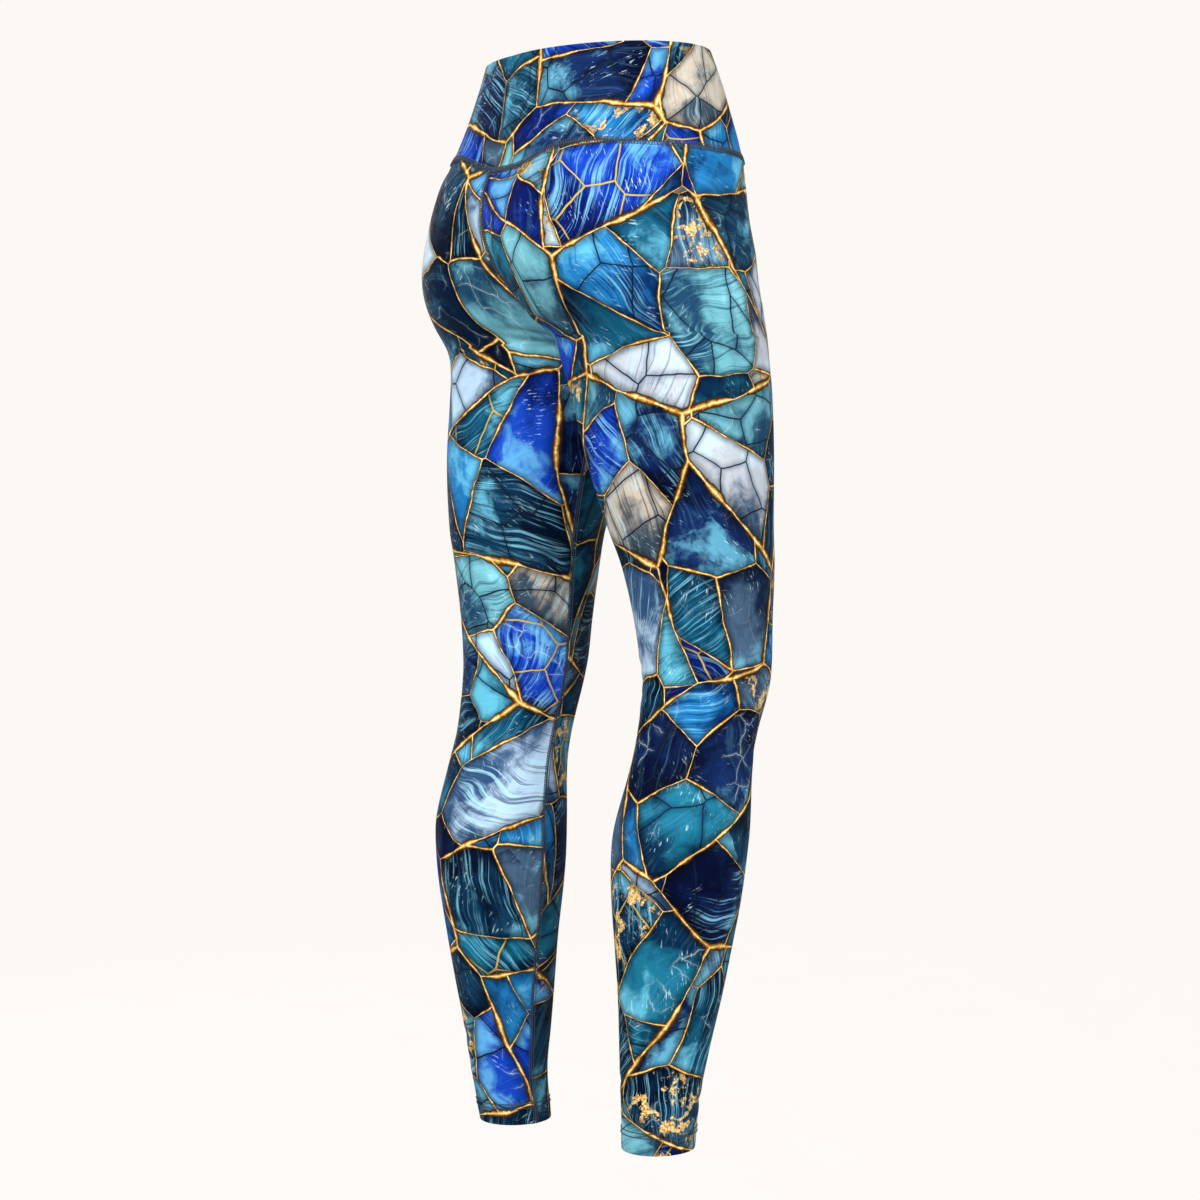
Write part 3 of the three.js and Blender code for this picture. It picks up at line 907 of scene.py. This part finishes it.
def stone_print_group(colours):
    """A generic print of broken blue stones, set in gold veins."""
    tree, given, out = new_group(
        "Broken stone print",
        (
            ("Cloth", "NodeSocketVector", None),
            ("Large stones per metre", "NodeSocketFloat", 7.4),
            ("Small stones per metre", "NodeSocketFloat", 12.5),
            ("Facets per metre", "NodeSocketFloat", 21.0),
            ("Vein width", "NodeSocketFloat", 0.00135),
            ("Gold", "NodeSocketColor", (*colours.gold, 1)),
            ("Light gold", "NodeSocketColor", (*colours.light_gold, 1)),
            ("Gold edge", "NodeSocketColor", (*colours.gold_edge, 1)),
        ),
        (("Color", "NodeSocketColor"), ("Gold mask", "NodeSocketFloat")),
    )
    paint = {name: (*getattr(colours, name), 1) for name in PRINT_TONES}
    cells = stone_cells(tree, given)
    stone = stone_colour(tree, cells.pick["Red"], colours)
    deep = mixed(tree, 1.0, stone, paint["deep"], "MULTIPLY")
    bright = mixed(tree, 0.88, stone, paint["bright"], "SCREEN")
    body = clouded(tree, cells, stone, deep, bright)
    body = brushed(tree, cells, body, deep, mixed(tree, 0.5, bright, paint["stroke"]))
    body = marked(tree, cells, body, paint)
    body = cracked(tree, cells, body, deep, paint)
    body = gilded(tree, cells, body, given)
    colour, gold_mask = veined(tree, cells, body, given)
    tree.links.new(colour, out["Color"])
    tree.links.new(gold_mask, out["Gold mask"])
    return tree


def jersey_group():
    """Fine columns of knitted loops, as height and as painted groove shade: darker between the columns, a
    little lighter on them.
    """
    tree, given, out = new_group(
        "Jersey knit",
        (
            ("Cloth", "NodeSocketVector", None),
            ("Loops per metre", "NodeSocketFloat", KNIT_LOOPS),
        ),
        (("Height", "NodeSocketFloat"), ("Painted groove shade", "NodeSocketFloat"), ("Uneven", "NodeSocketFloat")),
    )
    place = add(tree, "ShaderNodeSeparateXYZ", {"Vector": warped(tree, given["Cloth"], 60, 0.0004)}).outputs
    across = maths(tree, "MULTIPLY", place["X"], given["Loops per metre"])
    down = maths(tree, "MULTIPLY", place["Y"], given["Loops per metre"])
    in_column = maths(tree, "ABSOLUTE", maths(tree, "SUBTRACT", maths(tree, "FRACT", across), 0.5))
    arm = maths(tree, "SINE", maths(tree, "MULTIPLY", maths(tree, "ADD", down, in_column), math.tau))
    rib = ramped(tree, in_column, 0.5, 0.1)
    height = maths(tree, "MULTIPLY", rib, maths(tree, "ADD", 0.7, maths(tree, "MULTIPLY", arm, 0.3)))
    uneven = noise(tree, given["Cloth"], 160, 4.0, 0.6)
    tree.links.new(height, out["Height"])
    # Painted shade: the colour darkens in the grooves between the loop columns and lightens slightly on their
    # ribs, following the height.
    tree.links.new(ramped(tree, height, 0.0, 1.0, 0.90, 1.04), out["Painted groove shade"])
    tree.links.new(uneven, out["Uneven"])
    return tree


def new_material(name, roughness, sheen, specular):
    """A material with a Principled shader whose constant values are set on it."""
    material = bpy.data.materials.new(name)
    material.use_nodes = True
    tree = material.node_tree
    tree.nodes.clear()
    shader = tree.nodes.new("ShaderNodeBsdfPrincipled")
    shader.inputs["Roughness"].default_value = roughness
    shader.inputs["Specular IOR Level"].default_value = specular
    shader.inputs["Sheen Weight"].default_value = sheen
    shader.inputs["Sheen Roughness"].default_value = 0.4
    output = tree.nodes.new("ShaderNodeOutputMaterial")
    tree.links.new(shader.outputs[0], output.inputs[0])
    return material, tree, shader


def bump(tree, shader, height, distance, strength):
    """Low relief on a surface, from a height."""
    node = add(tree, "ShaderNodeBump", {"Height": height, "Distance": distance, "Strength": strength})
    tree.links.new(node.outputs[0], shader.inputs["Normal"])


def flat_place(tree):
    """The place on the flat cloth, in metres."""
    return add(tree, "ShaderNodeUVMap", None, uv_map="cloth").outputs[0]


def placed_group(tree, group, **inputs):
    """A node group in a material, with its inputs by name, each space written as an underscore."""
    named = {name.replace("_", " "): value for name, value in inputs.items()}
    return add(tree, "ShaderNodeGroup", named, node_tree=group).outputs


def printed_jersey(name, groups, roughness, loops):
    """The printed face of the cloth, in stretch jersey."""
    material, tree, shader = new_material(name, roughness, sheen=0.006, specular=0.03)
    place = flat_place(tree)
    pattern = placed_group(tree, groups["print"], Cloth=place)
    knit = placed_group(tree, groups["jersey"], Cloth=place, Loops_per_metre=loops)
    # The knit's painted groove shade darkens the print between the loop columns.
    groove_shaded_colour = mixed(tree, 1.0, pattern["Color"], grey(tree, knit["Painted groove shade"]), "MULTIPLY")
    tree.links.new(groove_shaded_colour, shader.inputs["Base Color"])
    rough = ramped(tree, knit["Uneven"], 0.3, 0.7, roughness - 0.05, roughness + 0.07)
    rough = maths(tree, "SUBTRACT", rough, maths(tree, "MULTIPLY", pattern["Gold mask"], 0.06))
    tree.links.new(rough, shader.inputs["Roughness"])
    bump(tree, shader, knit["Height"], 0.00018, 0.55)
    return material


def jersey_reverse(groups, colours):
    """The unprinted inside of the cloth, with the print faintly struck through."""
    material, tree, shader = new_material("Jersey reverse", roughness=0.8, sheen=0.2, specular=0.25)
    place = flat_place(tree)
    knit = placed_group(tree, groups["jersey"], Cloth=place, Loops_per_metre=KNIT_LOOPS)
    pattern = placed_group(tree, groups["print"], Cloth=place)
    struck = mixed(tree, 0.16, (*colours.reverse, 1), pattern["Color"])
    # The knit's painted groove shade darkens the inside between the loop columns.
    groove_shaded_colour = mixed(tree, 1.0, struck, grey(tree, knit["Painted groove shade"]), "MULTIPLY")
    tree.links.new(groove_shaded_colour, shader.inputs["Base Color"])
    bump(tree, shader, knit["Height"], 0.0002, 0.6)
    return material


def thread_material(colour):
    """Twisted sewing thread, with painted shade where its twist sinks and painted highlight where it rises.
    """
    material, tree, shader = new_material("Dark thread", roughness=0.62, sheen=0.15, specular=0.35)
    place = add(tree, "ShaderNodeNewGeometry").outputs["Position"]
    inputs = {"Vector": place, "Scale": 900.0, "Distortion": 3.0, "Detail": 2.0}
    twist = add(tree, "ShaderNodeTexWave", inputs, bands_direction="DIAGONAL").outputs["Fac"]
    # Painted shade and highlight: the colour follows the twist's height, as the bump does, darker in its
    # grooves and lighter on its crests.
    dark = (*[0.45 * part for part in colour], 1)
    light = (*[min(1, 1.7 * part + 0.02) for part in colour], 1)
    tree.links.new(mixed(tree, twist, dark, light), shader.inputs["Base Color"])
    bump(tree, shader, twist, 0.0001, 0.5)
    return material


def studio_material(colour):
    """A pale floor that glows as bright as the backdrop, so that no horizon shows."""
    material, tree, shader = new_material("Studio floor", roughness=0.9, sheen=0.0, specular=0.1)
    place = add(tree, "ShaderNodeNewGeometry").outputs["Position"]
    grain = add(tree, "ShaderNodeTexNoise", {"Vector": place, "Scale": 6.0, "Detail": 4.0}).outputs["Fac"]
    tone = ramped(tree, grain, 0.3, 0.7, 0.028, 0.034)
    tree.links.new(grey(tree, tone), shader.inputs["Base Color"])
    shader.inputs["Emission Color"].default_value = (*colour, 1)
    seen = tree.nodes.new("ShaderNodeLightPath").outputs["Is Camera Ray"]
    tree.links.new(ramped(tree, seen, 0.0, 1.0, FLOOR_GLOW, FLOOR_SHOWN), shader.inputs["Emission Strength"])
    return material


def colour_property(name, description, default):
    """A colour that the user can change."""
    return bpy.props.FloatVectorProperty(
        name=name, description=description, default=default, subtype="COLOR", size=3, min=0, max=1
    )


class LeggingsSizes(bpy.types.PropertyGroup):
    """Sizes of the sewing and of the cloth's creases."""

    needle_thread: bpy.props.FloatProperty(
        name="Needle thread", description="Thickness of the thread in the rows of stitches", default=0.00095,
        unit="LENGTH", precision=5,
    )
    thread: bpy.props.FloatProperty(
        name="Thread", description="Thickness of the sewing thread", default=0.00055, unit="LENGTH",
        precision=5,
    )
    stitch_pitch: bpy.props.FloatProperty(
        name="Stitch pitch", description="Distance from stitch to stitch", default=0.0023, unit="LENGTH"
    )
    flatlock_width: bpy.props.FloatProperty(
        name="Flatlock width", description="Width of the waist and centre seams", default=0.006, unit="LENGTH"
    )
    inside_leg_width: bpy.props.FloatProperty(
        name="Inside leg rows", description="Distance between the two rows of the inside leg seam",
        default=0.0044, unit="LENGTH",
    )
    crease_share: bpy.props.FloatProperty(
        name="Creases", description="Depth of the soft creases, as a share", default=1.0, subtype="FACTOR",
        min=0, max=2,
    )
    loops: bpy.props.FloatProperty(
        name="Knit loops", description="Loops of the jersey in each metre", default=KNIT_LOOPS, min=100
    )


class LeggingsColours(bpy.types.PropertyGroup):
    """Colours of the print, the thread and the stage."""

    navy: colour_property("Navy", "Darkest blue stones", (0.0040, 0.0190, 0.0900))
    midnight: colour_property("Midnight", "Dark green-blue stones", (0.0030, 0.0340, 0.0800))
    royal: colour_property("Royal blue", "Bright blue stones", (0.0055, 0.0480, 0.4300))
    deep_teal: colour_property("Deep teal", "Petrol blue stones", (0.0040, 0.0780, 0.1500))
    teal: colour_property("Teal", "Middle green-blue stones", (0.0090, 0.1500, 0.2500))
    slate: colour_property("Slate", "Grey-blue stones", (0.0550, 0.1050, 0.1800))
    cerulean: colour_property("Cerulean", "Clear blue stones", (0.0120, 0.1700, 0.4300))
    aqua: colour_property("Aqua", "Light green-blue stones", (0.1500, 0.4300, 0.5100))
    pale: colour_property("Pale blue", "Pale blue stones", (0.4000, 0.5500, 0.7100))
    silver: colour_property("Silver", "Silver-grey stones", (0.4800, 0.5200, 0.5800))
    cream: colour_property("Cream", "Warm pale stones", (0.5500, 0.4800, 0.3900))
    gold: colour_property("Gold", "Veins", (0.450, 0.215, 0.026))
    light_gold: colour_property("Light gold", "Glints of the veins", (1.000, 0.760, 0.340))
    gold_edge: colour_property("Gold edge", "Dark edges of the veins", (0.035, 0.016, 0.006))
    deep: colour_property("Deep tone", "Darkens the stones' shaded ends", (0.06, 0.12, 0.22))
    bright: colour_property("Bright tone", "Lightens the stones' lit ends", (0.11, 0.38, 0.52))
    stroke: colour_property("Light strokes", "Brush strokes over the stones", (0.30, 0.66, 0.86))
    scratch: colour_property("Scratches", "Short scratches over the stones", (0.56, 0.78, 0.86))
    marble: colour_property("Marbling", "Pale veins in some stones", (0.62, 0.82, 0.88))
    dark_crack: colour_property("Dark cracks", "Cracks between the facets", (0.004, 0.010, 0.024))
    gold_crack: colour_property("Gold cracks", "Gilded cracks in some stones", (0.54, 0.37, 0.035))
    reverse: colour_property("Reverse", "Unprinted inside of the cloth", (0.74, 0.77, 0.80))
    thread: colour_property("Thread", "Sewing thread", (0.010, 0.024, 0.048))
    stage: colour_property("Stage", "Floor and backdrop", (0.975, 0.940, 0.905))


built = {}


def shared_groups(colours):
    """The node groups that the cloth materials share, made once."""
    if "groups" not in built:
        built["groups"] = {"print": stone_print_group(colours), "jersey": jersey_group()}
    return built["groups"]


def shared_thread(colours):
    """The thread that all the sewing shares."""
    if "thread" not in built:
        built["thread"] = thread_material(colours.thread)
    return built["thread"]


def shared_reverse(colours):
    """The inside of the cloth, shared by all three pieces."""
    if "reverse" not in built:
        built["reverse"] = jersey_reverse(shared_groups(colours), colours)
    return built["reverse"]


def finished_piece(obj):
    """A piece that rides on the body, kept by its name."""
    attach(obj, "root")
    built[obj.name] = obj
    return obj


def sewn(name, parts):
    """One piece from many threads."""
    points, faces = joined(parts)
    colours = bpy.context.scene.leggings_colours
    return finished_piece(mesh_object(name, points, faces, [shared_thread(colours)]))


class LEGGINGS_OT_waistband(bpy.types.Operator):
    """Build the high waistband, folded along its top edge"""

    bl_idname = "leggings.waistband"
    bl_label = "Waistband"

    def execute(self, context):
        colours, sizes = context.scene.leggings_colours, context.scene.leggings_sizes
        cloth = band_cloth()
        face = printed_jersey("Printed jersey band", shared_groups(colours), 0.56, sizes.loops)
        band = cloth_object("waistband_cloth", cloth, [face, shared_reverse(colours)])
        finished_piece(band)
        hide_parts("waistband")
        built["band"] = cloth
        return {"FINISHED"}


class LEGGINGS_OT_legs(bpy.types.Operator):
    """Build the two one-piece legs with their creases and turned hems"""

    bl_idname = "leggings.legs"
    bl_label = "Legs"

    def execute(self, context):
        colours, sizes = context.scene.leggings_colours, context.scene.leggings_sizes
        face = printed_jersey("Printed jersey leg", shared_groups(colours), 0.52, sizes.loops)
        for leg in ("left", "right"):
            cloth = leg_cloth(leg, sizes.crease_share)
            obj = cloth_object(f"{leg}_leg_cloth", cloth, [face, shared_reverse(colours)])
            finished_piece(obj)
            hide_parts(f"{leg}_leg")
            built[leg] = cloth
        return {"FINISHED"}


def middle_path(levels, around):
    """The line midway between both legs' edges at a centre seam."""
    left, left_up = built["left"].at(levels, np.full(len(levels), around))
    right, right_up = built["right"].at(levels, np.full(len(levels), around))
    ups = left_up + right_up
    return SeamPath((left + right) / 2, ups / np.linalg.norm(ups, axis=1, keepdims=True))


def flatlock(path, sizes):
    """A flat seam: a bed of threads, a zigzag over it and a row of stitches along each side."""
    width, thread, pitch = sizes.flatlock_width / MM, sizes.thread / MM, sizes.stitch_pitch / MM
    parts = seam_bed(path, *FLATLOCK["bed"], FLATLOCK["lift"])
    parts += zigzag_row(path, width * FLATLOCK["zigzag_width"], pitch, thread, FLATLOCK["zigzag_lift"])
    for side in (-1, 1):
        offset = side * width * FLATLOCK["row_place"]
        parts += stitch_row(path, offset, pitch, FLATLOCK["stitch"], thread, FLATLOCK["row_lift"])
    return parts


class LEGGINGS_OT_flatlock(bpy.types.Operator):
    """Sew the waist seam and the two centre seams with dark flatlock"""

    bl_idname = "leggings.flatlock"
    bl_label = "Flatlock seams"

    def execute(self, context):
        sizes, band = context.scene.leggings_sizes, built["band"]
        around = np.linspace(0, 1, SEAM_STATIONS["waist"])
        low, low_up = band.at(np.full(len(around), band.levels[0]), around)
        low[:, 2] -= SEAM_GAP / 2
        sewn("waist_seam", flatlock(SeamPath(low, low_up), sizes))
        levels = np.linspace(-WAISTBAND_HEIGHT - 3, CROTCH_LEVEL + 0.5, SEAM_STATIONS["centre"])
        for name, side in (("centre_front_seam", 0.0), ("centre_back_seam", 1.0)):
            sewn(name, flatlock(middle_path(levels, side), sizes))
        return {"FINISHED"}


class LEGGINGS_OT_inside_legs(bpy.types.Operator):
    """Sew the inside leg seams, each with a closed join and two rows of stitches"""

    bl_idname = "leggings.inside_legs"
    bl_label = "Inside leg seams"

    def execute(self, context):
        sizes = context.scene.leggings_sizes
        thread, pitch = sizes.needle_thread / MM, sizes.stitch_pitch / MM
        half = sizes.inside_leg_width / MM / 2
        for leg in ("left", "right"):
            cloth = built[leg]
            levels = np.linspace(CROTCH_LEVEL - 2, HEM_LEVEL + 1, SEAM_STATIONS["inside"])
            front, front_up = cloth.at(levels, np.zeros(len(levels)))
            back, back_up = cloth.at(levels, np.ones(len(levels)))
            ups = front_up + back_up
            path = SeamPath((front + back) / 2, ups / np.linalg.norm(ups, axis=1, keepdims=True))
            parts = seam_bed(path, *INSIDE_LEG_BED, INSIDE_LEG_LIFT)
            for side in (-half, half):
                parts += stitch_row(path, side, pitch, STITCH_SHARE, thread, STITCH_LIFT)
            sewn(f"{leg}_inside_leg_seam", parts)
        return {"FINISHED"}


class LEGGINGS_OT_hems(bpy.types.Operator):
    """Sew both turned hems with two rows of stitches"""

    bl_idname = "leggings.hems"
    bl_label = "Hem stitching"

    def execute(self, context):
        sizes = context.scene.leggings_sizes
        thread, pitch = sizes.needle_thread / MM, sizes.stitch_pitch / MM
        for leg in ("left", "right"):
            cloth = built[leg]
            around = np.linspace(0, 1, SEAM_STATIONS["hem"])
            parts = []
            for row in HEM_STITCH_ROWS:
                points, ups = cloth.at(np.full(len(around), HEM_LEVEL + row), around)
                parts += stitch_row(SeamPath(points, ups), 0, pitch, STITCH_SHARE, thread, STITCH_LIFT)
            sewn(f"{leg}_hem_stitching", parts)
        return {"FINISHED"}


class LEGGINGS_OT_declare(bpy.types.Operator):
    """Does nothing: no flat size of any piece is stated"""

    bl_idname = "leggings.declare"
    bl_label = "Flat sizes"

    def execute(self, context):
        return {"FINISHED"}


def area_light(name, place, target, size, power, colour):
    """A square soft lamp that points at a place."""
    light = bpy.data.lights.new(name, "AREA")
    light.shape = "SQUARE"
    light.size = size
    light.energy = power
    light.color = colour
    obj = bpy.data.objects.new(name, light)
    obj.location = place
    obj.rotation_euler = (Vector(target) - Vector(place)).to_track_quat("-Z", "Y").to_euler()
    bpy.context.scene.collection.objects.link(obj)


def around_camera(azimuth, distance, height):
    """A place round the upright axis, by its angle from the camera's."""
    angle = math.radians(CAMERA_AZIMUTH + azimuth)
    return (math.sin(angle) * distance, -math.cos(angle) * distance, height)


class LEGGINGS_OT_stage(bpy.types.Operator):
    """Set up the pale floor, the soft lights and the camera"""

    bl_idname = "leggings.stage"
    bl_label = "Stage"

    def execute(self, context):
        colour = context.scene.leggings_colours.stage
        turn = np.linspace(0, math.tau, FLOOR_SIDES, endpoint=False)
        level = np.full(FLOOR_SIDES, FLOOR_LEVEL)
        rim = np.stack([np.cos(turn) * FLOOR_RADIUS, np.sin(turn) * FLOOR_RADIUS, level], axis=1)
        floor = mesh_object("studio_floor", rim / MM, [list(range(FLOOR_SIDES))], [studio_material(colour)])
        world = bpy.data.worlds.new("Studio light")
        world.use_nodes = True
        tree = world.node_tree
        background = tree.nodes["Background"]
        background.inputs[0].default_value = (*colour, 1)
        seen = tree.nodes.new("ShaderNodeLightPath").outputs["Is Camera Ray"]
        tree.links.new(ramped(tree, seen, 0.0, 1.0, AMBIENT, 1.0), background.inputs[1])
        context.scene.world = world
        for name, row in LAMPS.items():
            lamp = dict(zip(LAMP_COLUMNS, row))
            place = around_camera(lamp["azimuth"], lamp["distance"], lamp["height"])
            tint = (1, lamp["warmth"], lamp["warmth"] ** 2)
            area_light(name, place, LIT_POINT, lamp["size"], lamp["power"], tint)
        camera_data = bpy.data.cameras.new("camera")
        camera_data.lens = CAMERA_LENS
        camera_data.sensor_width = SENSOR_WIDTH
        camera_data.clip_end = FAR_CLIP
        camera = bpy.data.objects.new("camera", camera_data)
        place = Vector(around_camera(0, CAMERA_DISTANCE, CAMERA_HEIGHT))
        ahead = Vector((-place.x, -place.y, 0)).normalized()
        pitch = math.radians(CAMERA_PITCH)
        view = ahead * math.cos(pitch) + Vector((0, 0, math.sin(pitch)))
        camera.location = place
        camera.rotation_euler = view.to_track_quat("-Z", "Y").to_euler()
        context.scene.collection.objects.link(camera)
        context.scene.camera = camera
        context.scene.view_settings.view_transform = "Standard"
        return {"FINISHED"}


OPERATORS = (
    LEGGINGS_OT_stage,
    LEGGINGS_OT_waistband,
    LEGGINGS_OT_legs,
    LEGGINGS_OT_flatlock,
    LEGGINGS_OT_inside_legs,
    LEGGINGS_OT_hems,
    LEGGINGS_OT_declare,
)


class LEGGINGS_PT_panel(bpy.types.Panel):
    """Lists what can be built, and the sizes and colours that it uses"""

    bl_idname = "LEGGINGS_PT_panel"
    bl_label = "Leggings"
    bl_space_type = "VIEW_3D"
    bl_region_type = "UI"
    bl_category = "Leggings"

    def draw(self, context):
        for group in (context.scene.leggings_sizes, context.scene.leggings_colours):
            for name in group.__annotations__:
                self.layout.prop(group, name)
        for operator in OPERATORS:
            self.layout.operator(operator.bl_idname)


CLASSES = (LeggingsSizes, LeggingsColours, *OPERATORS, LEGGINGS_PT_panel)


def register():
    for cls in CLASSES:
        bpy.utils.register_class(cls)
    bpy.types.Scene.leggings_sizes = bpy.props.PointerProperty(type=LeggingsSizes)
    bpy.types.Scene.leggings_colours = bpy.props.PointerProperty(type=LeggingsColours)


def unregister():
    del bpy.types.Scene.leggings_colours
    del bpy.types.Scene.leggings_sizes
    for cls in reversed(CLASSES):
        bpy.utils.unregister_class(cls)


def main():
    register()
    for operator in OPERATORS:
        group, name = operator.bl_idname.split(".")
        getattr(getattr(bpy.ops, group), name)()
    bpy.context.view_layer.update()


if __name__ == "__main__":
    main()
